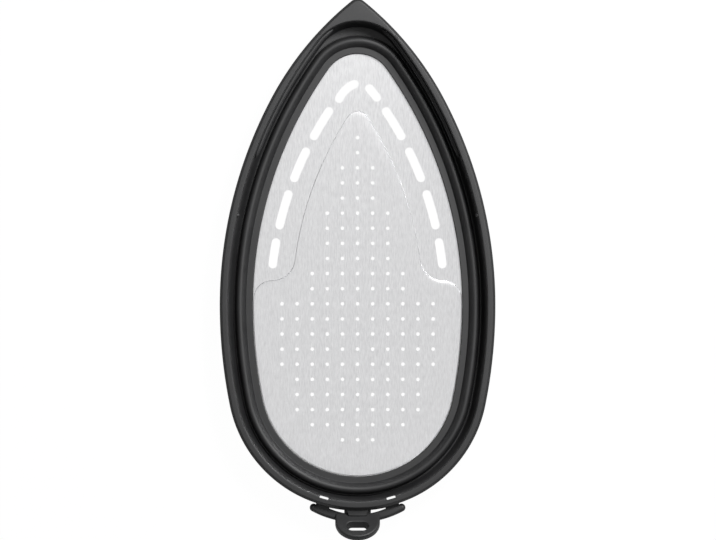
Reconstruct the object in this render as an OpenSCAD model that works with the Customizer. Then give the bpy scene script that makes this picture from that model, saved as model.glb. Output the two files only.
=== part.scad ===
// Iron shoe cover: a black moulded frame that grips the foot of an iron, round a pressed metal sole.
// The shoe lies on its sole, nose towards +Y. Inside this file Y = 0 is the line of greatest width,
// and the whole shoe is then shifted so that the middle of its length is at the origin.

/* [Rim outline] */
// Full width across the rim
rim_w = 127.4; // [120:0.2:134]
// From the line of greatest width forward to the tip
nose_reach = 141.6; // [138:0.2:148]
// From the line of greatest width back to the outside of the heel
heel_reach = 94.5; // [90:0.1:99]
// Radius of the front flanks
front_flank_r = 204; // [196:1:210]
// Radius of the rear flanks
rear_flank_r = 232; // [215:1:260]
// Angle on the front flank where the straighter run to the tip begins
taper_start = 28; // [24:0.5:30]
// Radius of the rounded tip
tip_r = 4.6; // [3.6:0.1:6]

/* [Rim section] */
// Height of the rim above the surface that the sole stands on
rim_h = 16; // [14:0.2:19]
// Width of the flat top of the rim
rim_top_w = 3.7; // [3.4:0.1:4.4]
// How far the inner wall leans inward from top to foot
wall_run = 2.3; // [1.6:0.1:2.6]
// From the line of greatest width forward to the inner wall at the nose
wall_nose_reach = 131.4; // [128:0.1:133]
// Rounding of the outer top edge
outer_round = 1.4; // [0.8:0.1:2]
// Bevel under the outer edge, measured across
foot_bevel = 1.8; // [1:0.1:2.4]
// Height at which the bevel under the outer edge ends
foot_bevel_h = 3.2; // [2:0.1:4.5]
// Height of the frame's underside above the sole's
skirt_lift = 0.4; // [0.2:0.05:0.7]

/* [Seat inside the frame] */
// Height of the flange and of the valley floor
floor_h = 2.6; // [2.2:0.1:3.4]
// From the outer outline to the edge of the window in the frame
window_inset = 15.3; // [14.6:0.1:16.4]
// From the line of greatest width forward to the nose of the window
window_nose_reach = 116.4; // [113:0.1:118]
// From the outer outline to the crest of the seat bead
bead_inset = 9.2; // [8.9:0.1:9.8]
// Width of the rounded crest of the bead
bead_w = 3.5; // [2.8:0.1:3.6]
// Height of the bead above the flange
bead_rise = 3.4; // [2.6:0.1:4.2]
// How far the bead's inner side leans out at its foot
bead_lean = 1.2; // [0.6:0.1:1.4]

/* [Grip on the iron] */
// Radius of the grip ribs along the front of the inner wall
rib_r = 0.8; // [0.5:0.05:1]
// Depth of the grip ribs below the rim's top
rib_depth = 2.2; // [1.6:0.1:3]
// Angle on the front flank where a grip rib begins
rib_start = 20; // [14:0.5:26]
// Angle round the nose where a grip rib ends
rib_end = 62; // [50:1:72]
// Radius of the snap nubs on the inner wall
nub_r = 1.1; // [0.8:0.05:1.4]
// Angle of the snap nubs on the front flank
nub_angle = 12; // [6:0.5:13]

/* [Heel] */
// Length of each slit beside the heel
slit_l = 4.2; // [3:0.1:6]
// Width of each slit beside the heel
slit_w = 1.2; // [0.8:0.05:1.4]
// From the outer outline to the middle of the slits
slit_inset = 3.3; // [3:0.05:3.4]
// Angle of each slit from the middle of the heel
slit_angle = 15.8; // [14:0.1:19]
// Width of the bow across the heel
bow_w = 44.3; // [38:0.1:48]
// Radius of the bow's outside
bow_r = 44.5; // [42:0.1:50]
// How far the bow stands out behind the heel
bow_out = 6; // [5.4:0.1:7]
// Height of the bow's underside
bow_low = 5; // [4:0.1:7]
// Height of the bow's top
bow_top = 12; // [11:0.1:13]
// Rounding of the bow's outer top edge
bow_round = 1.6; // [0.8:0.1:2]
// Radius of the bow's rounded ends
bow_end_r = 1.8; // [1.7:0.1:2.4]
// Distance from the middle to the far end of each gap behind the heel
gap_reach = 13.2; // [11:0.1:14]
// Radius of the outer side of the gaps
gap_r = 32.4; // [30:0.1:36]
// Widest opening of the gaps, from the heel's wall
gap_w = 2.25; // [1.6:0.05:2.4]
// Ledge left along the heel's wall inside the gaps
gap_ledge = 0.45; // [0.2:0.05:0.6]
// Width of the neck where it leaves the rim
neck_w = 12.3; // [10:0.1:13]
// Width of the neck where it reaches the tab
neck_end_w = 9; // [7:0.1:10]

/* [Finger tab] */
// Width of the tab, which is also twice the radius of its end
tab_w = 20.7; // [18:0.1:23]
// Thickness of the tab
tab_t = 3.2; // [2.6:0.1:3.6]
// Angle at which the tab leans up from level
tab_tilt = 45; // [38:0.5:50]
// From the heel's wall to the foot of the tab
tab_set_back = 1.65; // [1.3:0.05:1.9]
// Straight length of the tab below its round end
tab_straight = 4.4; // [3:0.1:8]
// Rounding of the tab's edges
tab_round = 0.8; // [0.4:0.05:1.1]
// Length of the finger hole across the tab
hole_l = 10; // [8:0.1:11.5]
// Width of the finger hole along the tab
hole_w = 6; // [5:0.1:7]
// From the centre of the tab's round end out to the finger hole
hole_shift = 4.1; // [2.5:0.1:4.6]

/* [Sole plate] */
// Thickness of the sheet
sheet_t = 0.8; // [0.6:0.05:1]
// From the outer outline to the turned-up edge of the sole
sole_inset = 5; // [4.8:0.1:5.4]
// Height of the turned-up edge above the sole's underside
lip_h = 2.2; // [1.6:0.1:2.3]
// Clearance round the turned-up edge in its groove
lip_clear = 0.1; // [0.05:0.01:0.2]
// Rounding of the sole's lower edge
sole_round = 0.6; // [0.3:0.05:0.7]
// Height of the raised area above the rest of the sheet
press_h = 0.45; // [0.3:0.05:0.6]
// Width of the sloping step round the raised area
press_run = 0.55; // [0.4:0.05:0.8]
// Height of the upright foot of that step
press_foot = 0.12; // [0.08:0.02:0.2]
// Play between the raised area and the window
press_clear = 0.4; // [0.2:0.05:0.6]
// Half the width of the raised delta at the line of greatest width
delta_half_w = 30.2; // [29:0.1:31]
// Radius of the sides of the delta
delta_side_r = 160.6; // [156:0.2:166]
// From the line of greatest width forward to the point of the delta
delta_reach = 89.75; // [89:0.05:90.5]
// From the line of greatest width forward to the shoulders of the raised area
shoulder_y = 11.3; // [9:0.1:13]
// Radius of the hollow curve between delta and shoulder
shoulder_hollow_r = 10.9; // [9.5:0.1:11.2]

/* [Steam holes] */
// Diameter of the round holes
steam_d = 1.7; // [1.2:0.05:2.4]
// Spacing of the holes along and across
steam_pitch = 7; // [6.7:0.05:7.1]
// Forward position of the first row
steam_front_y = 77.7; // [75:0.1:79]
// Holes in each row, from the nose back
steam_rows = [1, 1, 3, 3, 3, 5, 5, 5, 5, 7, 7, 11, 11, 11, 11, 11, 9, 9, 9, 7, 3];

/* [Steam slots] */
// Width of the slots
slot_w = 4; // [3:0.1:4.6]
// Half the width of the line of slots at the line of greatest width
slot_half_w = 40.4; // [40:0.1:40.8]
// Radius of the line of slots
slot_line_r = 162.2; // [160:0.2:165]
// Forward position of the rear end of the rearmost slot
slot_rear_y = 19.1; // [18.6:0.1:20]
// Metal left between neighbouring slots
slot_bridge = 4.2; // [3.6:0.1:4.6]
// Lengths of the slots between the centres of their ends, from the rear forward
slot_lengths = [10.1, 14.8, 13.2, 13.4];
// Centre line radius of the curved slot at the nose
nose_slot_r = 13; // [11:0.1:16]
// Centre of the curved slot's arc
nose_slot_at = [3.4, 90.4];
// Angles at which the curved slot begins and ends
nose_slot_turn = [112, 156];
// Ends of the short slot at the nose
short_slot_ends = [[5.5, 100.5], [8.9, 96.3]];

/* [Hidden] */
$fa = 2;
$fs = 0.4;

// Amount by which a cut runs past the face that it opens
over = 1;
// Longest flat, and widest angle of one flat, along a curved outline
flat_l = 5.5;
flat_angle = 7;
// Flats round the end of a slot
end_flats = 10;
// Where the middle of a rounding made in two flats lies in from each face, as a share of its radius
flat_share = 1 - sqrt(0.5);
// Depth of a nub's centre below the rim's top, in radii of the nub
nub_sink = 1.2;
// Radius of the discs that end the bow, as a share of its end radius, so that they lie inside it
disc_share = 0.97;
// Angle by which a round cut runs past each end of the bow
cut_past = 1;
// Depth in the sheet from which the raised area rises, as a share of the sheet
root_share = 1 / 3;
half_w = rim_w / 2;
front_c = front_flank_r - half_w;
rear_c = rear_flank_r - half_w;

// Radius of the arc that closes two flanks of radius flank_r and half width half at the distance reach
function end_r(half, flank_r, reach) =
    (half * (2 * flank_r - half) - reach * reach) / (2 * (flank_r - reach));
function dir(a) = [cos(a), sin(a)];

heel_r = end_r(half_w, rear_flank_r, heel_reach);
heel_cy = heel_r - heel_reach;
heel_turn = atan2(-heel_cy, rear_c);

// An arc is [centre x, centre y, radius, first angle, last angle]. Seen from inside the outline it is
// convex, and a hollow one has a negative radius.
function left_of(arc) = [-arc[0], arc[1], arc[2], 180 - arc[4], 180 - arc[3]];

// A whole outline in order: the nose, the left side going back, the heel, and the right side going forward
function ring(nose, side, heel) = concat([nose], [for (arc = side) left_of(arc)], [heel],
    [for (i = [len(side) - 1 : -1 : 0]) side[i]]);
rear_side = [-rear_c, 0, rear_flank_r, -heel_turn, 0];
heel = [0, heel_cy, heel_r, 180 + heel_turn, 360 - heel_turn];

// Flanks with a plain round nose, whose radius holds at the outer outline, for a line set in by inset
function round_nose(inset, reach) =
    let (r = end_r(half_w - inset, front_flank_r - inset, reach) + inset,
        cy = reach + inset - r,
        turn = atan2(cy, front_c))
    ring([0, cy, r, turn, 180 - turn], [[-front_c, 0, front_flank_r, 0, turn], rear_side], heel);

wall_arcs = round_nose(rim_top_w, wall_nose_reach);
window_arcs = round_nose(window_inset, window_nose_reach);
wall_nose = wall_arcs[0];

// The outer outline runs straighter to a small round tip
tip_at = [0, nose_reach - tip_r];
taper_from = [-front_c, 0] + front_flank_r * dir(taper_start);
taper_gap = taper_from - tip_at;
taper_r = (taper_gap * taper_gap - tip_r * tip_r) / (2 * (taper_gap * dir(taper_start) - tip_r));
taper_at = taper_from - taper_r * dir(taper_start);
taper_end = atan2(tip_at.y - taper_at.y, tip_at.x - taper_at.x);
outer_arcs = ring(
    [tip_at.x, tip_at.y, tip_r, taper_end, 180 - taper_end],
    [
        [taper_at.x, taper_at.y, taper_r, taper_start, taper_end],
        [-front_c, 0, front_flank_r, 0, taper_start],
        rear_side,
    ],
    heel);

// Points along an arc that is set in by inset, in the order of the outline, without the last one
function arc_points(arc, inset) =
    let (turn = arc[4] - arc[3],
        count = ceil(max(turn / flat_angle, turn * PI / 180 * abs(arc[2]) / flat_l)),
        from = arc[2] > 0 ? arc[3] : arc[4],
        step = (arc[2] > 0 ? turn : -turn) / count)
    [for (i = [0 : count - 1]) [arc[0], arc[1]] + abs(arc[2] - inset) * dir(from + i * step)];
function outline_points(arcs, inset) = [for (arc = arcs) each arc_points(arc, inset)];
function at_height(points, z) = [for (p = points) [p.x, p.y, z]];

module outline(arcs, inset = 0) {
    polygon(outline_points(arcs, inset));
}

// Solid whose outline goes through the steps of a profile from bottom to top. A step is how far the
// outline is set in, and the height.
module stack(arcs, profile) {
    n = len(outline_points(arcs, 0));
    last = len(profile) - 1;
    polyhedron(
        points = [for (step = profile) each at_height(outline_points(arcs, step[0]), step[1])],
        faces = concat(
            [[for (i = [0 : n - 1]) i]],
            [[for (i = [n - 1 : -1 : 0]) last * n + i]],
            [for (k = [0 : last - 1], i = [0 : n - 1])
                let (j = (i + 1) % n) [k * n + i, (k + 1) * n + i, (k + 1) * n + j, k * n + j]]));
}

// Ring whose section, a list of steps as in a stack, goes round clockwise with the outside on the left
module closed_ring(arcs, section) {
    n = len(outline_points(arcs, 0));
    m = len(section);
    polyhedron(
        points = [for (step = section) each at_height(outline_points(arcs, step[0]), step[1])],
        faces = [for (k = [0 : m - 1], i = [0 : n - 1])
            let (j = (i + 1) % n, above = (k + 1) % m)
            [k * n + i, above * n + i, above * n + j, k * n + j]]);
}

// What comes off a square corner at the origin to round it in two flats, to about the radius r. Both
// flats run on past the corner's faces.
module corner_off(r) {
    past = r + over * (1 - flat_share) / flat_share;
    polygon([[-over, -over], [past, -over], [flat_share * r, flat_share * r], [-over, past]]);
}

// Everything above the valley floor, out to the sloping inner wall
module wall_cavity() {
    lean = wall_run / (rim_h - floor_h);
    stack(wall_arcs, [[rim_top_w + wall_run, floor_h], [rim_top_w - lean * over, rim_h + over]]);
}

module bead() {
    r = bead_w / 2;
    crest = floor_h + bead_rise - r;
    low = floor_h - skirt_lift;
    closed_ring(window_arcs, concat(
        [[bead_inset - r, low]],
        [for (a = [180 : -30 : 0]) [bead_inset, crest] + r * dir(a)],
        [[bead_inset + r + bead_lean, floor_h], [bead_inset + r + bead_lean, low]]));
}

// Ribs under the rim at the front, which hold the iron's foot down, and a nub behind each
module grips() {
    z = rim_h - rib_depth;
    x = rim_top_w + wall_run * rib_depth / (rim_h - floor_h);
    flank_at = [-front_c, 0] + front_flank_r * dir(rib_start);
    nose_at = [0, wall_nose[1]];
    intersection() {
        closed_ring(wall_arcs, [for (a = [180 : -45 : -135]) [x, z] + rib_r * dir(a)]);
        linear_extrude(rim_h) for (side = [0, 1]) mirror([side, 0]) polygon([
            nose_at,
            nose_at + rim_w * dir(rib_end),
            [rim_w, flank_at.y],
            flank_at,
            [0, flank_at.y]]);
    }
    at = [-front_c, 0] + (front_flank_r - rim_top_w) * dir(nub_angle);
    for (side = [-1, 1]) translate([side * at.x, at.y, rim_h - nub_sink * nub_r]) sphere(nub_r);
}

module rim() {
    difference() {
        stack(outer_arcs, [
            [foot_bevel, skirt_lift],
            [0, foot_bevel_h],
            [0, rim_h - outer_round],
            [flat_share * outer_round, rim_h - flat_share * outer_round],
            [outer_round, rim_h]]);
        wall_cavity();
        translate([0, 0, -over]) linear_extrude(rim_h) outline(window_arcs, window_inset);
        // Bed and groove for the sole
        translate([0, 0, -over]) linear_extrude(sheet_t + over)
            outline(wall_arcs, sole_inset - lip_clear);
        linear_extrude(lip_h + lip_clear) difference() {
            outline(wall_arcs, sole_inset - lip_clear);
            outline(wall_arcs, sole_inset + sheet_t + lip_clear);
        }
    }
}

// Flat section from a middle line out to an edge at width, with that edge's top corner rounded off,
// and its lower corner too where low is true
module edge_section(width, h, r, low = false) {
    difference() {
        square([width, h]);
        translate([width, h]) rotate(180) corner_off(r);
        if (low) translate([width, 0]) mirror([1, 0]) corner_off(r);
    }
}

// Bar that bows out behind the heel, with round ends
module bow() {
    cy = bow_r - heel_reach - bow_out;
    end_at = bow_w / 2 - bow_end_r;
    turn = asin(end_at / (bow_r - bow_end_r));
    end_y = cy - sqrt(pow(bow_r - bow_end_r, 2) - end_at * end_at);
    translate([0, 0, bow_low]) difference() {
        linear_extrude(bow_top - bow_low) {
            difference() {
                intersection() {
                    translate([0, cy]) circle(bow_r);
                    polygon([
                        [0, cy],
                        [0, cy] + 2 * bow_r * dir(270 - turn),
                        [0, cy] + 2 * bow_r * dir(270 + turn)]);
                }
                translate([0, heel_cy]) circle(heel_r - rim_top_w / 2);
            }
            for (side = [-1, 1]) translate([side * end_at, end_y]) circle(disc_share * bow_end_r);
        }
        translate([0, cy]) rotate([0, 0, 270 - turn - cut_past])
            rotate_extrude(angle = 2 * (turn + cut_past))
            translate([bow_r, bow_top - bow_low]) rotate(180) corner_off(bow_round);
    }
}

module neck() {
    inside_y = rim_top_w / 2 - heel_reach;
    foot_y = -heel_reach - tab_set_back - over;
    intersection() {
        translate([0, 0, bow_low]) linear_extrude(rim_h) polygon([
            [-neck_w / 2, inside_y],
            [neck_w / 2, inside_y],
            [neck_end_w / 2, foot_y],
            [-neck_end_w / 2, foot_y]]);
        rotate([90, 0, 90]) translate([0, 0, -neck_w]) linear_extrude(2 * neck_w) polygon([
            [inside_y, bow_low],
            [inside_y, rim_h],
            [-heel_reach, rim_h],
            [foot_y, bow_top + over],
            [foot_y, bow_low]]);
    }
}

// Tab for a fingertip, which leans up and away from the heel
module tab() {
    r = tab_w / 2;
    translate([0, -heel_reach - tab_set_back, bow_top]) rotate([-tab_tilt, 0, 0]) translate([0, 0, -tab_t])
        difference() {
            union() {
                translate([0, tab_t, 0]) rotate([90, 0, 0]) linear_extrude(tab_t + tab_straight)
                    for (side = [0, 1]) mirror([side, 0]) edge_section(r, tab_t, tab_round, true);
                translate([0, -tab_straight, 0]) rotate([0, 0, 180]) rotate_extrude(angle = 180)
                    edge_section(r, tab_t, tab_round, true);
            }
            translate([0, -tab_straight - hole_shift, -over]) linear_extrude(tab_t + 2 * over)
                stadium([-(hole_l - hole_w) / 2, 0], [(hole_l - hole_w) / 2, 0], hole_w);
        }
}

// Points round half a circle, from the angle from
function half_circle(at, r, from) = [for (i = [0 : end_flats]) at + r * dir(from + i * 180 / end_flats)];

// Flat shape with round ends from one centre to another
module stadium(from, to, width) {
    turn = atan2(to.y - from.y, to.x - from.x);
    polygon(concat(half_circle(to, width / 2, turn - 90), half_circle(from, width / 2, turn + 90)));
}

// Flat shape with round ends along an arc
module arc_slot(at, r, first, last, width) {
    steps = ceil((last - first) / flat_angle * 2);
    turns = [for (i = [1 : steps - 1]) first + (last - first) * i / steps];
    polygon(concat(
        half_circle(at + r * dir(first), width / 2, first - 180),
        [for (a = turns) at + (r + width / 2) * dir(a)],
        half_circle(at + r * dir(last), width / 2, last),
        [for (i = [len(turns) - 1 : -1 : 0]) at + (r - width / 2) * dir(turns[i])]));
}

// The through openings at the heel: a slit each side, and a gap each side of the neck
module heel_openings() {
    tall = rim_h + 2 * over;
    for (side = [-1, 1]) translate([0, heel_cy, -over]) rotate([0, 0, side * slit_angle])
        translate([-slit_l / 2, slit_inset - heel_r - slit_w / 2, 0]) cube([slit_l, slit_w, tall]);
    translate([0, 0, -over]) linear_extrude(tall) for (side = [-1, 1]) difference() {
        intersection() {
            translate([0, gap_r - heel_reach - gap_w]) circle(gap_r);
            translate([side > 0 ? neck_w / 2 : -gap_reach, -heel_reach - gap_w - over])
                square([gap_reach - neck_w / 2, gap_w + 4 * over]);
        }
        translate([0, heel_cy]) circle(heel_r + gap_ledge);
    }
}

module frame() {
    color("#2b2b2d") difference() {
        union() {
            rim();
            bead();
            grips();
            bow();
            neck();
            tab();
        }
        heel_openings();
    }
}

// The raised area: a delta in front, shoulders, and the whole rear of the window
delta_c = delta_side_r - delta_half_w;
delta_r = end_r(delta_half_w, delta_side_r, delta_reach);
delta_cy = delta_reach - delta_r;
delta_turn = atan2(delta_cy, delta_c);
hollow_y = shoulder_y + shoulder_hollow_r;
hollow_x = sqrt(pow(delta_side_r + shoulder_hollow_r, 2) - hollow_y * hollow_y) - delta_c;
hollow_turn = atan2(hollow_y, hollow_x + delta_c);
edge_inset = window_inset + press_clear;
edge_r = front_flank_r - edge_inset;
shoulder_r = (edge_r * edge_r - pow(hollow_x + front_c, 2) - shoulder_y * shoulder_y)
    / (2 * (edge_r - shoulder_y));
shoulder_at = [hollow_x, shoulder_y - shoulder_r];
shoulder_turn = atan2(shoulder_at.y, shoulder_at.x + front_c);

// Arcs of the raised area's edge, each with its radius at that edge
function set_in(arc, inset) = [arc[0], arc[1], arc[2] - inset, arc[3], arc[4]];
delta_nose = [0, delta_cy, delta_r, delta_turn, 180 - delta_turn];
delta_side = [-delta_c, 0, delta_side_r, hollow_turn, delta_turn];
shoulder_hollow = [hollow_x, hollow_y, -shoulder_hollow_r, 180 + hollow_turn, 270];
shoulder = [shoulder_at.x, shoulder_at.y, shoulder_r, shoulder_turn, 90];
edge_side = set_in([-front_c, 0, front_flank_r, 0, shoulder_turn], edge_inset);
edge_rear = set_in(rear_side, edge_inset);
edge_heel = set_in(heel, edge_inset);
raised_arcs = ring(delta_nose, [delta_side, shoulder_hollow, shoulder, edge_side, edge_rear], edge_heel);

module steam_holes() {
    for (row = [0 : len(steam_rows) - 1], i = [0 : steam_rows[row] - 1])
        translate([
            (i - (steam_rows[row] - 1) / 2) * steam_pitch,
            steam_front_y - row * steam_pitch,
            -over]) cylinder(h = sheet_t + press_h + 2 * over, d = steam_d);
}

// Angle on the line of slots at which slot number n begins, counted from the rear
function slot_from(n) = n == 0 ? asin(slot_rear_y / slot_line_r)
    : slot_from(n - 1) + (slot_lengths[n - 1] + slot_bridge + slot_w) / slot_line_r * 180 / PI;

module steam_slots() {
    translate([0, 0, -over]) linear_extrude(sheet_t + 2 * over) {
        for (side = [0, 1], n = [0 : len(slot_lengths) - 1]) mirror([side, 0]) arc_slot(
            [slot_half_w - slot_line_r, 0], slot_line_r,
            slot_from(n), slot_from(n) + slot_lengths[n] / slot_line_r * 180 / PI, slot_w);
        arc_slot(nose_slot_at, nose_slot_r, nose_slot_turn[0], nose_slot_turn[1], slot_w);
        stadium(short_slot_ends[0], short_slot_ends[1], slot_w);
    }
}

module sole_plate() {
    root = sheet_t * root_share;
    raised_top = sheet_t + press_h;
    slope = (press_h - press_foot) / press_run;
    color("silver") difference() {
        union() {
            difference() {
                stack(wall_arcs, [
                    [sole_inset + sole_round, 0],
                    [sole_inset + flat_share * sole_round, flat_share * sole_round],
                    [sole_inset, sole_round],
                    [sole_inset, lip_h]]);
                translate([0, 0, sheet_t]) linear_extrude(lip_h) outline(wall_arcs, sole_inset + sheet_t);
            }
            // Raised area with its sloping step
            difference() {
                translate([0, 0, root]) linear_extrude(raised_top - root) outline(raised_arcs);
                closed_ring(raised_arcs, [
                    [-over, sheet_t + press_foot - over * slope],
                    [-over, raised_top + over],
                    [press_run + over / slope, raised_top + over]]);
            }
        }
        // Hollow under the raised area
        translate([0, 0, -over]) linear_extrude(press_h + over) outline(raised_arcs, press_run + root);
        steam_holes();
        steam_slots();
    }
}

// The tab's farthest point sets how far the shoe reaches back
tab_back = heel_reach + tab_set_back + (tab_straight + tab_w / 2 - tab_round) * cos(tab_tilt)
    + (tab_t - tab_round) * sin(tab_tilt) + tab_round;
module placed() {
    translate([0, (tab_back - nose_reach) / 2, 0]) children();
}

placed() frame();
placed() sole_plate();
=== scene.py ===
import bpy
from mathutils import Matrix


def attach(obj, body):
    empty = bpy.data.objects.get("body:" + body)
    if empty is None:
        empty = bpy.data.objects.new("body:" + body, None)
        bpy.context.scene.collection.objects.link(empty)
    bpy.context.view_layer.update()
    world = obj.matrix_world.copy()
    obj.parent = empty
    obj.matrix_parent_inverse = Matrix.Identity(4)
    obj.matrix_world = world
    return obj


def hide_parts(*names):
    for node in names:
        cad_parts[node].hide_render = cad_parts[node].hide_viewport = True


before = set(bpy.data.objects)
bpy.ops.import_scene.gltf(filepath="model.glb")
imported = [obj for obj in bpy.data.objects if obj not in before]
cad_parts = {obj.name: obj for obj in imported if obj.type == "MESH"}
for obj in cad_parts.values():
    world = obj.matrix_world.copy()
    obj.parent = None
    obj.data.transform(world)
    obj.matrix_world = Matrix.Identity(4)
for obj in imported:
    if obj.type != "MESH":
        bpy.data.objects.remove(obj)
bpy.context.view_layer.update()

import math
import bmesh
import bpy
from mathutils import Vector

print("frame loaded:", sorted(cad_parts))

# Outlines of the moulding, in millimetres: X is 0 on the middle line and Y is 0 at the greatest width
outline = {
    "halfWidth": 63.7, "noseReach": 141.6, "heelReach": 94.5,
    "frontFlank": 204.0, "rearFlank": 232.0, "taperStart": 28.0, "tip": 4.6,
    "wallInset": 3.7, "wallNose": 131.4,
    "windowInset": 15.3, "windowNose": 116.4,
    "shift": -16.544,  # brings the middle of the shoe's length to the origin
    "heelSteps": 60, "rearSteps": 24, "frontSteps": 50, "noseSteps": 90, "noseCrowding": 1.6,
}


def onArc(x, y, radius, angle):
    turn = math.radians(angle)
    return (x + radius * math.cos(turn), y + radius * math.sin(turn))


def endRadius(half, flank, reach):
    return (half * (2 * flank - half) - reach * reach) / (2 * (flank - reach))


frontCentre = outline["frontFlank"] - outline["halfWidth"]
rearCentre = outline["rearFlank"] - outline["halfWidth"]
heelRadius = endRadius(outline["halfWidth"], outline["rearFlank"], outline["heelReach"])
heelY = heelRadius - outline["heelReach"]
heelTurn = math.degrees(math.atan2(-heelY, rearCentre))


# The end of an outline past the point where the taper starts, as arcs: x, y, radius, first and last angle
def roundNose(inset, reach):
    radius = endRadius(outline["halfWidth"] - inset, outline["frontFlank"] - inset, reach) + inset
    y = reach + inset - radius
    turn = math.degrees(math.atan2(y, frontCentre))
    return [(-frontCentre, 0.0, outline["frontFlank"], outline["taperStart"], turn), (0.0, y, radius, turn, 90.0)]


def pointedNose():
    tip = outline["tip"]
    tipY = outline["noseReach"] - tip
    start = outline["taperStart"]
    fromX, fromY = onArc(-frontCentre, 0.0, outline["frontFlank"], start)
    gap = Vector((fromX, fromY - tipY))
    along = gap.dot(Vector(onArc(0.0, 0.0, 1.0, start)))
    radius = (gap.dot(gap) - tip * tip) / (2 * (along - tip))
    x, y = onArc(fromX, fromY, -radius, start)
    last = math.degrees(math.atan2(tipY - y, -x))
    return [(x, y, radius, start, last), (0.0, tipY, tip, last, 90.0)]


noses = {
    "outer": pointedNose(),
    "wall": roundNose(outline["wallInset"], outline["wallNose"]),
    "window": roundNose(outline["windowInset"], outline["windowNose"]),
}


def noseRun(line, inset):
    arcs = noses[line]
    lengths = [(arc[2] - inset) * math.radians(arc[4] - arc[3]) for arc in arcs]
    points = []
    for step in range(outline["noseSteps"] + 1):
        left = 1 - step / outline["noseSteps"]
        reach = sum(lengths) * (1 - left ** outline["noseCrowding"])
        which = 0 if reach < lengths[0] else 1
        x, y, radius, first, last = arcs[which]
        past = (reach - which * lengths[0]) / lengths[which]
        points.append(onArc(x, y, radius - inset, first + (last - first) * min(past, 1.0)))
    return points


# One whole outline, set in from the outside, from the heel round the right side and back down the left
def wholeOutline(line, inset):
    shared = [
        (0.0, heelY, heelRadius, 270.0, 360.0 - heelTurn, outline["heelSteps"]),
        (-rearCentre, 0.0, outline["rearFlank"], -heelTurn, 0.0, outline["rearSteps"]),
        (-frontCentre, 0.0, outline["frontFlank"], 0.0, outline["taperStart"], outline["frontSteps"]),
    ]
    right = []
    for x, y, radius, first, last, steps in shared:
        right += [onArc(x, y, radius - inset, first + (last - first) * i / steps) for i in range(steps)]
    right += noseRun(line, inset)
    return right + [(-x, y) for x, y in reversed(right[1:-1])]


def inPlace(point):
    return Vector((point[0], point[1] + outline["shift"], point[2])) / 1000


# Rings of points joined into a skin. A tube closes on itself, and otherwise both ends are filled.
def skinRings(shape, rings, closed=True):
    rows = [[shape.verts.new(inPlace(point)) for point in ring] for ring in rings]
    size = len(rows[0])
    for k in range(len(rows) if closed else len(rows) - 1):
        low, high = rows[k], rows[(k + 1) % len(rows)]
        for i in range(size):
            j = (i + 1) % size
            shape.faces.new((low[i], low[j], high[j], high[i]))
    if not closed:
        shape.faces.new(rows[0])
        shape.faces.new(rows[-1])


def newPiece(name, build):
    shape = bmesh.new()
    build(shape)
    bmesh.ops.recalc_face_normals(shape, faces=shape.faces)
    for face in shape.faces:
        face.smooth = True
    mesh = bpy.data.meshes.new(name)
    shape.to_mesh(mesh)
    shape.free()
    piece = bpy.data.objects.new(name, mesh)
    bpy.context.scene.collection.objects.link(piece)
    return piece


# A rounded corner in a section, between the points before and after it, with a firm edge each side
def softCorner(before, corner, after, radius, flats=5, hold=0.06):
    at = Vector(corner)
    back = (Vector(before) - at).normalized()
    on = (Vector(after) - at).normalized()
    half = back.angle(on) / 2
    reach = radius / math.tan(half)
    centre = at + (back + on).normalized() * radius / math.sin(half)
    start, end = at + back * reach - centre, at + on * reach - centre
    sweep = start.angle(end)
    points = [at + back * (reach + hold)]
    for i in range(flats + 1):
        share = sweep * i / flats
        points.append(centre + (start * math.sin(sweep - share) + end * math.sin(share)) / math.sin(sweep))
    points.append(at + on * (reach + hold))
    return [tuple(point) for point in points]


# Section of the moulding: how far in from the outside, and the height
moulding = {
    "top": 16.0, "crown": 0.05, "bevelWide": 1.1, "bevelHigh": 1.2, "wallRound": 0.5,
    "skirt": 0.4, "bevelIn": 1.8, "bevelTop": 3.2,
    "knee": (3.95, 9.5), "kneeRound": 2.0, "wallFoot": 6.0, "valley": 1.9, "valleyIn": 6.75,
    "floor": 2.6, "under": 0.8,
    "beadAt": 9.2, "beadRadius": 1.75, "beadTop": 6.0, "beadLean": 1.2,
    "groove": (4.9, 5.9, 2.3),
}


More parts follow.
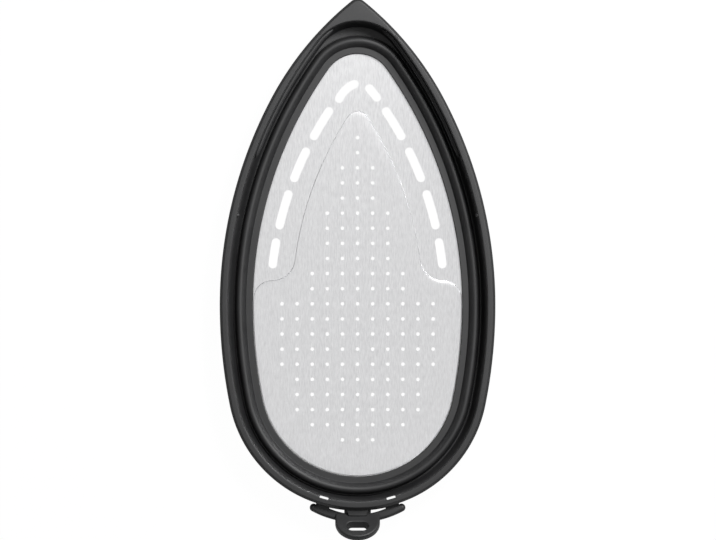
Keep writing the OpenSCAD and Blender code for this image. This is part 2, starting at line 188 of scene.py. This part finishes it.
def mouldingSection():
    m = moulding
    top, floor, under = m["top"], m["floor"], m["under"]
    outside = [("outer", corner) for corner in (
        softCorner((4.9, m["skirt"]), (m["bevelIn"], m["skirt"]), (0, m["bevelTop"]), 0.4, 3)
        + softCorner((m["bevelIn"], m["skirt"]), (0, m["bevelTop"]), (0, top), 1.2)
        + softCorner((0, m["bevelTop"]), (0, top - m["bevelHigh"]), (m["bevelWide"], top), 0.35, 4)
        + softCorner((0, top - m["bevelHigh"]), (m["bevelWide"], top - m["crown"]), (2.6, top), 0.5, 4))]
    rimEdge = (outline["wallInset"], top - m["crown"])
    wall = [("wall", corner) for corner in (
        [(2.6, top)]
        + softCorner((2.6, top), rimEdge, m["knee"], m["wallRound"], 6)
        + softCorner(rimEdge, m["knee"], (m["wallFoot"], floor), m["kneeRound"])
        + softCorner(m["knee"], (m["wallFoot"] + 0.1, floor - 0.3), (m["valleyIn"], m["valley"]), 0.7, 4))]
    beadLow = (m["beadAt"] - m["beadRadius"], floor + 0.4)
    crest = m["beadTop"] - m["beadRadius"]
    bead = [onArc(m["beadAt"], crest, m["beadRadius"], 180.0 - 7.5 * i) for i in range(21)]
    stepFoot = (m["beadAt"] + m["beadRadius"] + m["beadLean"], floor)
    edge = outline["windowInset"]
    window = [("window", corner) for corner in (
        softCorner((m["wallFoot"], floor), (m["valleyIn"], m["valley"]), beadLow, 0.25, 3)
        + bead
        + softCorner(bead[-1], stepFoot, (edge, floor), 0.3)
        + softCorner(stepFoot, (edge, floor), (edge, under), 0.45, 6)
        + [(edge, under), (m["groove"][1] + 1.0, under)])]
    first, last, roof = m["groove"]
    groove = [("wall", corner) for corner in ((last, under), (last, roof), (first, roof), (first, m["skirt"]))]
    return outside + wall + window + groove


def buildRing(shape):
    rings = []
    for line, (inset, height) in mouldingSection():
        rings.append([(x, y, height) for x, y in wholeOutline(line, inset)])
    skinRings(shape, rings)


# Grip ribs along the front of the inner wall, and a snap nub behind each
grips = {"radius": 1.1, "inset": 4.5, "depth": 5.5, "first": 20.0, "last": 62.0, "fade": 7, "sides": 12,
         "nubRadius": 1.1, "nubAngle": 12.0, "nubDepth": 1.32}


def buildRibs(shape):
    m = moulding
    inset = grips["inset"]
    height = m["top"] - grips["depth"]
    points = []
    flank, nose = noses["wall"]
    for x, y, radius, first, last in [(-frontCentre, 0.0, outline["frontFlank"], grips["first"], flank[4]),
                                      (nose[0], nose[1], nose[2], nose[3], grips["last"])]:
        steps = math.ceil((last - first) * math.radians(1.0) * radius)
        points += [(x, y, radius, first + (last - first) * i / steps) for i in range(steps)]
    for side in (-1, 1):
        rings = []
        for i, (x, y, radius, angle) in enumerate(points):
            ending = min(i, len(points) - 1 - i) / grips["fade"]
            thick = grips["radius"] * math.sqrt(1 - (1 - min(ending, 1.0)) ** 2) + 0.02
            ring = []
            for k in range(grips["sides"]):
                out, up = onArc(0.0, 0.0, thick, 360.0 * k / grips["sides"])
                px, py = onArc(x, y, radius - inset + out, angle)
                ring.append((side * px, py, height + up))
            rings.append(ring)
        skinRings(shape, rings, closed=False)
        nx, ny = onArc(-frontCentre, 0.0, outline["frontFlank"] - outline["wallInset"], grips["nubAngle"])
        ball = bmesh.ops.create_icosphere(shape, subdivisions=3, radius=grips["nubRadius"] / 1000)
        bmesh.ops.translate(shape, verts=ball["verts"], vec=inPlace((side * nx, ny, m["top"] - grips["nubDepth"])))


# Flat outline set in along its own normals
def setIn(points, inset):
    size = len(points)
    moved = []
    for i, point in enumerate(points):
        before, after = Vector(points[i - 1]), Vector(points[(i + 1) % size])
        along = (after - before).normalized()
        moved.append((point[0] - along.y * inset, point[1] + along.x * inset))
    return moved


# Bow across the heel, with soft edges and round ends
bow = {"width": 44.3, "radius": 44.5, "out": 6.0, "low": 5.0, "top": 12.0, "round": 1.5, "lowRound": 0.6,
       "endRadius": 1.8, "steps": 60, "gapStart": 6.15, "gapReach": 13.0, "gapRadius": 32.4, "gapWidth": 2.25, "gapLedge": 0.45}


def bowOutline():
    y = bow["radius"] - outline["heelReach"] - bow["out"]
    inner = bow["radius"] - bow["endRadius"]
    turn = math.degrees(math.asin((bow["width"] / 2 - bow["endRadius"]) / inner))
    points = [onArc(0.0, y, bow["radius"], 270.0 - turn + 2 * turn * i / bow["steps"]) for i in range(bow["steps"])]
    endX, endY = onArc(0.0, y, inner, 270.0 + turn)
    points += [onArc(endX, endY, bow["endRadius"], 270.0 + turn + 190.0 * i / 14) for i in range(15)]
    inside = [onArc(0.0, heelY, heelRadius - 1.6, 289.0 - 38.0 * i / 20) for i in range(21)]
    points += inside
    points += [(-px, py) for px, py in reversed(points[bow["steps"]:bow["steps"] + 15])]
    return points


def slabRings(points, low, top, lowRound, topRound, flats=6):
    rings = []
    for i in range(flats + 1):
        lift = math.radians(90.0 * i / flats)
        rings.append((lowRound * (1 - math.sin(lift)), low + lowRound * (1 - math.cos(lift))))
    for i in range(flats + 1):
        lift = math.radians(90.0 * i / flats)
        rings.append((topRound * (1 - math.cos(lift)), top - topRound * (1 - math.sin(lift))))
    return [[(x, y, height) for x, y in setIn(points, inset)] for inset, height in rings]


def buildBow(shape):
    skinRings(shape, slabRings(bowOutline(), bow["low"], bow["top"], bow["lowRound"], bow["round"]), closed=False)


# The gap each side of the neck, and the slits in the rim beside the heel, as cutting shapes
def buildGaps(shape):
    y = bow["gapRadius"] - outline["heelReach"] - bow["gapWidth"]
    for side in (-1, 1):
        lows = []
        for i in range(25):
            x = bow["gapStart"] + (bow["gapReach"] - bow["gapStart"]) * i / 24
            outer = y - math.sqrt(bow["gapRadius"] ** 2 - x * x)
            inner = heelY - math.sqrt((heelRadius + bow["gapLedge"]) ** 2 - x * x)
            lows.append((side * x, min(outer, inner - 0.02), inner))
        flat = [(x, outer) for x, outer, inner in lows] + [(x, inner) for x, outer, inner in reversed(lows)]
        skinRings(shape, [[(px, py, height) for px, py in flat] for height in (-1.0, 18.0)], closed=False)


slits = {"length": 4.2, "width": 1.2, "inset": 3.3, "angle": 15.8}


def buildSlits(shape):
    for side in (-1, 1):
        turn = math.radians(side * slits["angle"])
        flat = []
        for across, out in ((-1, -1), (1, -1), (1, 1), (-1, 1)):
            for part in range(5):
                bend = math.radians({(-1, -1): 180, (1, -1): 270, (1, 1): 0, (-1, 1): 90}[(across, out)] + 22.5 * part)
                px = across * (slits["length"] / 2 - 0.35) + 0.35 * math.cos(bend)
                py = slits["inset"] - heelRadius + out * (slits["width"] / 2 - 0.35) + 0.35 * math.sin(bend)
                flat.append((px * math.cos(turn) - py * math.sin(turn), heelY + px * math.sin(turn) + py * math.cos(turn)))
        skinRings(shape, [[(px, py, height) for px, py in flat] for height in (-1.0, 18.0)], closed=False)


# Neck from the rim down to the tab
neck = {"width": 12.3, "endWidth": 8.8, "low": 5.0, "rimTop": 14.2, "endTop": 13.8, "round": 0.5, "rows": 14}


def buildNeck(shape):
    back = -outline["heelReach"] + 1.85
    foot = -outline["heelReach"] - 2.6
    rings = []
    for i in range(neck["rows"] + 1):
        share = i / neck["rows"]
        ease = share * share * (3 - 2 * share)
        half = (neck["width"] + (neck["endWidth"] - neck["width"]) * ease) / 2
        top = neck["rimTop"] + (neck["endTop"] - neck["rimTop"]) * ease
        y = back + (foot - back) * share
        round_ = neck["round"]
        ring = [(-half, neck["low"]), (half, neck["low"]), (half, top - round_ - 0.1)]
        ring += [(half - round_ + round_ * math.cos(a), top - round_ + round_ * math.sin(a))
                 for a in [math.radians(15.0 * k) for k in range(7)]]
        ring += [(-half + round_ - round_ * math.sin(a), top - round_ + round_ * math.cos(a))
                 for a in [math.radians(15.0 * k) for k in range(7)]]
        ring += [(-half, top - round_ - 0.1)]
        rings.append([(x, y, z) for x, z in ring])
    skinRings(shape, rings, closed=False)


# Finger tab: a round-ended plate that leans up and away from the heel, with its hole drafted for moulding
tab = {"width": 20.7, "thick": 3.2, "tilt": 45.0, "setBack": 1.65, "straight": 4.4, "round": 0.85,
       "holeLength": 10.0, "holeWidth": 5.4, "holeShift": 3.5, "lowLength": 8.4, "lowWidth": 3.2,
       "holeRound": 0.5, "foot": 12.0, "points": 144}


def tabReach(angle, inset):
    half = tab["width"] / 2 - inset
    x, y = onArc(0.0, 0.0, 1.0, angle)
    shift = tab["holeShift"]
    root = shift + tab["straight"] - 0.1
    if y > 0 and abs(x) * root / y <= half:
        return root / y
    if abs(x) > 1e-6 and half / abs(x) * y >= shift:
        return half / abs(x)
    return shift * y + math.sqrt(max(shift * shift * y * y - shift * shift + half * half, 0.0))


def holeReach(angle, length, width):
    x, y = onArc(0.0, 0.0, 1.0, angle)
    offset, radius = (length - width) / 2, width / 2
    if abs(y) > 1e-6 and abs(radius / abs(y) * x) <= offset:
        return radius / abs(y)
    return offset * abs(x) + math.sqrt(max(radius * radius - offset * offset * y * y, 0.0))


def buildTab(shape):
    thick, soft, lip = tab["thick"], tab["round"], tab["holeRound"]
    tilt = math.radians(tab["tilt"])
    angles = [360.0 * i / tab["points"] for i in range(tab["points"])]
    rows = []
    for i in range(7):
        lift = math.radians(15.0 * i)
        rows.append(("tab", soft * (1 - math.sin(lift)), -thick + soft * (1 - math.cos(lift))))
    for i in range(7):
        lift = math.radians(15.0 * i)
        rows.append(("tab", soft * (1 - math.cos(lift)), -soft * (1 - math.sin(lift))))
    rows.append(("tab", soft + 0.1, 0.0))
    rows.append(("hole", lip + 0.1, 0.0))
    for i in range(6):
        lift = math.radians(18.0 * i)
        rows.append(("hole", lip * (1 - math.sin(lift)), -lip * (1 - math.cos(lift))))
    rows.append(("low", 0.0, -thick))
    rings = []
    for kind, inset, height in rows:
        ring = []
        for angle in angles:
            if kind == "tab":
                reach = tabReach(angle, inset)
            elif kind == "hole":
                reach = holeReach(angle, tab["holeLength"] + 2 * inset, tab["holeWidth"] + 2 * inset)
            else:
                reach = holeReach(angle, tab["lowLength"], tab["lowWidth"])
            px, py = onArc(0.0, -tab["straight"] - tab["holeShift"], reach, angle)
            y = py * math.cos(tilt) + height * math.sin(tilt)
            z = -py * math.sin(tilt) + height * math.cos(tilt)
            ring.append((px, y - outline["heelReach"] - tab["setBack"], z + tab["foot"]))
        rings.append(ring)
    skinRings(shape, rings)


def combine(piece, other, operation):
    step = piece.modifiers.new("combine", "BOOLEAN")
    step.operation = operation
    step.solver = "MANIFOLD"
    step.object = other
    bpy.context.view_layer.objects.active = piece
    bpy.ops.object.modifier_apply(modifier=step.name)
    bpy.data.objects.remove(other)


ringPiece = newPiece("mouldedFrame", buildRing)
combine(ringPiece, newPiece("slitCutter", buildSlits), "DIFFERENCE")
bowPiece = newPiece("heelBow", buildBow)
combine(bowPiece, newPiece("gapCutter", buildGaps), "DIFFERENCE")
parts = [ringPiece, bowPiece, newPiece("neckPart", buildNeck), newPiece("tabPart", buildTab), newPiece("gripPart", buildRibs)]
for other in bpy.context.selected_objects:
    other.select_set(False)
for part in parts:
    part.select_set(True)
bpy.context.view_layer.objects.active = ringPiece
bpy.ops.object.join()
ringPiece.data.set_sharp_from_angle(angle=math.radians(38.0))
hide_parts("frame")
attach(ringPiece, "root")
print("moulding built:", len(ringPiece.data.polygons), "faces")

# Sole: pressed sheet with a turned-up edge, a raised area, and steam holes and slots
sole = {
    "sheet": 0.8, "inset": 5.0, "lip": 2.2, "round": 0.6,
    "rise": 0.45, "play": 0.4, "deltaHalf": 30.2, "deltaFlank": 160.6, "deltaReach": 89.75,
    "shoulder": 11.3, "hollow": 10.9,
    "crease": [(-0.25, 0.9), (-0.23, 0.79), (0.06, 0.58), (0.06, 0.9)],
    "step": [(0.0, 0.3), (0.0, 1.15), (0.9, 1.195), (2.0, 1.228), (3.4, 1.246), (4.8, 1.25)],
    "pocket": [(0.85, -1.0), (0.85, 0.36), (1.0, 0.45)],
    "hole": 1.7, "pitch": 7.0, "frontRow": 77.7, "holeSides": 24,
    "rows": (1, 1, 3, 3, 3, 5, 5, 5, 5, 7, 7, 11, 11, 11, 11, 11, 9, 9, 9, 7, 3),
    "slot": 4.0, "slotHalf": 40.4, "slotLine": 162.2, "slotRear": 19.1, "bridge": 4.2,
    "slots": (10.1, 14.8, 13.2, 13.4),
    "noseSlot": (3.4, 90.4, 13.0, 112.0, 156.0), "shortSlot": ((5.5, 100.5), (8.9, 96.3)),
}


def raisedArcs():
    deltaCentre = sole["deltaFlank"] - sole["deltaHalf"]
    deltaRadius = endRadius(sole["deltaHalf"], sole["deltaFlank"], sole["deltaReach"])
    deltaY = sole["deltaReach"] - deltaRadius
    deltaTurn = math.degrees(math.atan2(deltaY, deltaCentre))
    hollowY = sole["shoulder"] + sole["hollow"]
    hollowX = math.sqrt((sole["deltaFlank"] + sole["hollow"]) ** 2 - hollowY ** 2) - deltaCentre
    hollowTurn = math.degrees(math.atan2(hollowY, hollowX + deltaCentre))
    edge = outline["windowInset"] + sole["play"]
    flank = outline["frontFlank"] - edge
    shoulder = (flank ** 2 - (hollowX + frontCentre) ** 2 - sole["shoulder"] ** 2) / (2 * (flank - sole["shoulder"]))
    shoulderY = sole["shoulder"] - shoulder
    shoulderTurn = math.degrees(math.atan2(shoulderY, hollowX + frontCentre))
    return [
        (0.0, heelY, heelRadius - edge, 270.0, 360.0 - heelTurn),
        (-rearCentre, 0.0, outline["rearFlank"] - edge, -heelTurn, 0.0),
        (-frontCentre, 0.0, flank, 0.0, shoulderTurn),
        (hollowX, shoulderY, shoulder, shoulderTurn, 90.0),
        (hollowX, hollowY, -sole["hollow"], 270.0, 180.0 + hollowTurn),
        (-deltaCentre, 0.0, sole["deltaFlank"], hollowTurn, deltaTurn),
        (0.0, deltaY, deltaRadius, deltaTurn, 90.0),
    ]


def raisedOutline(inset):
    right = []
    for x, y, radius, first, last in raisedArcs():
        turn = abs(last - first)
        steps = math.ceil(max(turn / 5, math.radians(turn) * abs(radius) / 1.6))
        right += [onArc(x, y, abs(radius - inset), first + (last - first) * i / steps) for i in range(steps)]
    right.append((0.0, sole["deltaReach"] - inset))
    return right + [(-x, y) for x, y in reversed(right[1:-1])]


def buildTray(shape):
    inset, soft, sheet, lip = sole["inset"], sole["round"], sole["sheet"], sole["lip"]
    steps = softCorner((inset + 4, 0), (inset, 0), (inset, lip), soft, 6)
    steps += softCorner((inset, 0), (inset, lip), (inset + sheet, lip), 0.2, 3, 0.02)
    steps += softCorner((inset, lip), (inset + sheet, lip), (inset + sheet, sheet), 0.2, 3, 0.02)
    steps += softCorner((inset + sheet, lip), (inset + sheet, sheet), (inset + 4, sheet), 0.3, 4)
    skinRings(shape, [[(x, y, height) for x, y in wholeOutline("wall", step)] for step, height in steps], closed=False)


def buildRaised(shape):
    skinRings(shape, [[(x, y, z) for x, y in raisedOutline(inset)] for inset, z in sole["step"]], closed=False)


def buildPocket(shape):
    skinRings(shape, [[(x, y, z) for x, y in raisedOutline(inset)] for inset, z in sole["pocket"]], closed=False)


def buildCrease(shape):
    skinRings(shape, [[(x, y, z) for x, y in raisedOutline(inset)] for inset, z in sole["crease"]])


def punch(shape, flat):
    skinRings(shape, [[(x, y, z) for x, y in flat] for z in (-1.0, 2.0)], closed=False)


# Points round the end of a slot, half a turn from the given angle
def slotEnd(x, y, radius, start):
    return [onArc(x, y, radius, start + 15.0 * i) for i in range(13)]


def arcSlot(x, y, radius, first, last, side=1):
    half = sole["slot"] / 2
    turns = [first + (last - first) * i / 12 for i in range(1, 12)]
    points = slotEnd(*onArc(x, y, radius, first), half, first - 180)
    points += [onArc(x, y, radius + half, turn) for turn in turns]
    points += slotEnd(*onArc(x, y, radius, last), half, last)
    points += [onArc(x, y, radius - half, turn) for turn in reversed(turns)]
    return [(side * px, py) for px, py in points]


def buildSteam(shape):
    for row, count in enumerate(sole["rows"]):
        for i in range(count):
            x, y = (i - (count - 1) / 2) * sole["pitch"], sole["frontRow"] - row * sole["pitch"]
            sides = sole["holeSides"]
            punch(shape, [onArc(x, y, sole["hole"] / 2, 360.0 * k / sides) for k in range(sides)])
    line = sole["slotLine"]
    first = math.degrees(math.asin(sole["slotRear"] / line))
    for length in sole["slots"]:
        last = first + math.degrees(length / line)
        for side in (-1, 1):
            punch(shape, arcSlot(sole["slotHalf"] - line, 0.0, line, first, last, side))
        first = last + math.degrees((sole["bridge"] + sole["slot"]) / line)
    punch(shape, arcSlot(*sole["noseSlot"]))
    (fromX, fromY), (toX, toY) = sole["shortSlot"]
    turn = math.degrees(math.atan2(toY - fromY, toX - fromX))
    half = sole["slot"] / 2
    punch(shape, slotEnd(toX, toY, half, turn - 90) + slotEnd(fromX, fromY, half, turn + 90))


solePiece = newPiece("pressedSole", buildTray)
combine(solePiece, newPiece("raisedPart", buildRaised), "UNION")
for cutter in (newPiece("creaseCutter", buildCrease), newPiece("pocketCutter", buildPocket), newPiece("steamCutter", buildSteam)):
    combine(solePiece, cutter, "DIFFERENCE")
for face in solePiece.data.polygons:
    face.use_smooth = abs(face.normal.z) < 0.99999
solePiece.data.set_sharp_from_angle(angle=math.radians(35.0))
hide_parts("sole_plate")
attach(solePiece, "root")
print("sole built:", len(solePiece.data.polygons), "faces")

# Node helpers, shared by all the finishes


def newFinish(name):
    finish = bpy.data.materials.new(name)
    finish.use_nodes = True
    tree = finish.node_tree
    tree.nodes.clear()
    output = tree.nodes.new("ShaderNodeOutputMaterial")
    shader = tree.nodes.new("ShaderNodeBsdfPrincipled")
    tree.links.new(shader.outputs["BSDF"], output.inputs["Surface"])
    return finish, tree, shader


def addNode(tree, kind, **settings):
    node = tree.nodes.new(kind)
    for key, value in settings.items():
        if key in node.inputs:
            node.inputs[key].default_value = value
        else:
            setattr(node, key, value)
    return node


def objectPoints(tree, scale):
    place = addNode(tree, "ShaderNodeTexCoord")
    stretch = addNode(tree, "ShaderNodeMapping", vector_type="POINT")
    stretch.inputs["Scale"].default_value = scale
    tree.links.new(place.outputs["Object"], stretch.inputs["Vector"])
    return stretch.outputs["Vector"]


def noiseOn(tree, points, scale, detail=3.0, roughness=0.5):
    grain = addNode(tree, "ShaderNodeTexNoise", noise_dimensions="3D")
    grain.inputs["Scale"].default_value = scale
    grain.inputs["Detail"].default_value = detail
    grain.inputs["Roughness"].default_value = roughness
    tree.links.new(points, grain.inputs["Vector"])
    return grain.outputs["Fac"]


def spread(tree, source, fromLow, fromHigh, toLow, toHigh):
    ramp = addNode(tree, "ShaderNodeMapRange", clamp=True)
    for key, value in (("From Min", fromLow), ("From Max", fromHigh), ("To Min", toLow), ("To Max", toHigh)):
        ramp.inputs[key].default_value = value
    tree.links.new(source, ramp.inputs["Value"])
    return ramp.outputs["Result"]


def blendColours(tree, amount, first, second):
    mix = addNode(tree, "ShaderNodeMix", data_type="RGBA", blend_type="MIX")
    mix.inputs[6].default_value = first
    mix.inputs[7].default_value = second
    tree.links.new(amount, mix.inputs[0])
    return mix.outputs[2]


def sumOf(tree, first, second, share):
    add = addNode(tree, "ShaderNodeMath", operation="MULTIPLY_ADD")
    tree.links.new(second, add.inputs[0])
    add.inputs[1].default_value = share
    tree.links.new(first, add.inputs[2])
    return add.outputs["Value"]


# Black moulding: satin, with a fine spark-eroded grain and slight cloudiness
blackFinish = {
    "dark": (0.0065, 0.0065, 0.007, 1.0),
    "light": (0.0105, 0.0105, 0.011, 1.0),
    "cloudScale": 60.0,
    "grainScale": 2600.0,
    "grainDepth": 0.00004,
    "roughnessLow": 0.54,
    "roughnessHigh": 0.62,
    "specular": 0.46,
}


def mouldingFinish():
    finish, tree, shader = newFinish("blackMoulding")
    points = objectPoints(tree, (1.0, 1.0, 1.0))
    clouds = noiseOn(tree, points, blackFinish["cloudScale"], 4.0, 0.6)
    grain = noiseOn(tree, points, blackFinish["grainScale"], 2.0, 0.5)
    colour = blendColours(tree, spread(tree, clouds, 0.35, 0.65, 0.0, 1.0), blackFinish["dark"], blackFinish["light"])
    tree.links.new(colour, shader.inputs["Base Color"])
    rough = spread(tree, clouds, 0.3, 0.7, blackFinish["roughnessLow"], blackFinish["roughnessHigh"])
    tree.links.new(rough, shader.inputs["Roughness"])
    shader.inputs["Specular IOR Level"].default_value = blackFinish["specular"]
    bump = addNode(tree, "ShaderNodeBump", Strength=0.35, Distance=blackFinish["grainDepth"])
    tree.links.new(grain, bump.inputs["Height"])
    tree.links.new(bump.outputs["Normal"], shader.inputs["Normal"])
    return finish


# Pale sheet metal, brushed along the shoe
sheetMetal = {
    "dark": (0.82, 0.82, 0.83, 1.0),
    "light": (0.97, 0.97, 0.98, 1.0),
    "fineStreaks": (2200.0, 330.0, 2200.0),
    "broadStreaks": (1100.0, 130.0, 1100.0),
    "roughnessLow": 0.30,
    "roughnessHigh": 0.36,
    "anisotropy": 0.95,
    "streakDepth": 0.000012,
}


def sheetFinish():
    finish, tree, shader = newFinish("brushedSheet")
    fine = noiseOn(tree, objectPoints(tree, sheetMetal["fineStreaks"]), 1.0, 2.0, 0.6)
    broad = noiseOn(tree, objectPoints(tree, sheetMetal["broadStreaks"]), 1.0, 3.0, 0.6)
    streaks = sumOf(tree, fine, broad, 0.6)
    colour = blendColours(tree, spread(tree, streaks, 0.6, 1.0, 0.0, 1.0), sheetMetal["dark"], sheetMetal["light"])
    tree.links.new(colour, shader.inputs["Base Color"])
    rough = spread(tree, broad, 0.3, 0.7, sheetMetal["roughnessLow"], sheetMetal["roughnessHigh"])
    tree.links.new(rough, shader.inputs["Roughness"])
    shader.inputs["Metallic"].default_value = 1.0
    shader.inputs["Anisotropic"].default_value = sheetMetal["anisotropy"]
    tangent = addNode(tree, "ShaderNodeTangent", direction_type="RADIAL", axis="Y")
    tree.links.new(tangent.outputs["Tangent"], shader.inputs["Tangent"])
    bump = addNode(tree, "ShaderNodeBump", Strength=0.25, Distance=sheetMetal["streakDepth"])
    tree.links.new(fine, bump.inputs["Height"])
    tree.links.new(bump.outputs["Normal"], shader.inputs["Normal"])
    return finish


def wear(mesh, finish):
    mesh.materials.clear()
    mesh.materials.append(finish)


black = mouldingFinish()
wear(ringPiece.data, black)
wear(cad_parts["frame"].data, black)
sheet = sheetFinish()
wear(solePiece.data, sheet)
wear(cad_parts["sole_plate"].data, sheet)
print("finishes set")

# White table. The camera and shiny surfaces see it as plain white, and a little of the shadow stays.
# From below it is clear, so that the sole's underside can be seen.
table = {"size": 24.0, "drop": 0.0001, "colour": (0.92, 0.92, 0.92, 1.0), "whiteShare": 0.985}


def makeTable():
    bpy.ops.mesh.primitive_plane_add(size=table["size"], location=(0.0, 0.0, -table["drop"]))
    ground = bpy.context.object
    ground.name = "tableTop"
    finish = bpy.data.materials.new("whiteTable")
    finish.use_nodes = True
    tree = finish.node_tree
    tree.nodes.clear()
    output = tree.nodes.new("ShaderNodeOutputMaterial")
    matt = addNode(tree, "ShaderNodeBsdfDiffuse", Color=table["colour"])
    white = addNode(tree, "ShaderNodeEmission", Strength=1.0)
    mix = addNode(tree, "ShaderNodeMixShader")
    rays = addNode(tree, "ShaderNodeLightPath")
    seen = addNode(tree, "ShaderNodeMath", operation="MAXIMUM")
    part = addNode(tree, "ShaderNodeMath", operation="MULTIPLY")
    part.inputs[1].default_value = table["whiteShare"]
    tree.links.new(rays.outputs["Is Camera Ray"], seen.inputs[0])
    tree.links.new(rays.outputs["Is Glossy Ray"], seen.inputs[1])
    tree.links.new(seen.outputs["Value"], part.inputs[0])
    tree.links.new(part.outputs["Value"], mix.inputs[0])
    tree.links.new(matt.outputs["BSDF"], mix.inputs[1])
    tree.links.new(white.outputs["Emission"], mix.inputs[2])
    clear = addNode(tree, "ShaderNodeBsdfTransparent")
    side = addNode(tree, "ShaderNodeNewGeometry")
    under = addNode(tree, "ShaderNodeMixShader")
    tree.links.new(side.outputs["Backfacing"], under.inputs[0])
    tree.links.new(mix.outputs["Shader"], under.inputs[1])
    tree.links.new(clear.outputs["BSDF"], under.inputs[2])
    tree.links.new(under.outputs["Shader"], output.inputs["Surface"])
    ground.data.materials.append(finish)


makeTable()
print("table made")

# Lamps: a soft key beyond the nose on the right, a broad lamp overhead, and a dim white surround
lamps = {
    "key": {"place": (0.30, 0.36, 0.62), "size": 0.24, "power": 11.0},
    "overhead": {"place": (0.05, -0.08, 1.6), "size": 1.5, "power": 6.1},
}
surround = {"colour": (1.0, 1.0, 1.0, 1.0), "strength": 0.15}


def makeLamps():
    for name, lamp in lamps.items():
        light = bpy.data.lights.new(name, "AREA")
        light.shape = "SQUARE"
        light.size = lamp["size"]
        light.energy = lamp["power"]
        holder = bpy.data.objects.new(name, light)
        bpy.context.scene.collection.objects.link(holder)
        holder.location = lamp["place"]
        aim = -Vector(lamp["place"])
        holder.rotation_euler = aim.to_track_quat("-Z", "Y").to_euler()
    world = bpy.data.worlds.new("surround")
    world.use_nodes = True
    backdrop = world.node_tree.nodes["Background"]
    backdrop.inputs["Color"].default_value = surround["colour"]
    backdrop.inputs["Strength"].default_value = surround["strength"]
    bpy.context.scene.world = world


makeLamps()
print("lamps set")

# Camera straight above, far away, with the nose up in the picture
view = {"height": 5.0, "across": 0.3318, "centre": (0.0002, -0.0002), "sensor": 36.0}


def makeCamera():
    lens = bpy.data.cameras.new("overTheShoe")
    lens.sensor_width = view["sensor"]
    lens.lens = view["sensor"] * view["height"] / view["across"]
    lens.clip_end = 50.0
    holder = bpy.data.objects.new("overTheShoe", lens)
    bpy.context.scene.collection.objects.link(holder)
    holder.location = (view["centre"][0], view["centre"][1], view["height"])
    bpy.context.scene.camera = holder


makeCamera()
bpy.context.scene.view_settings.view_transform = "Standard"
print("camera set")
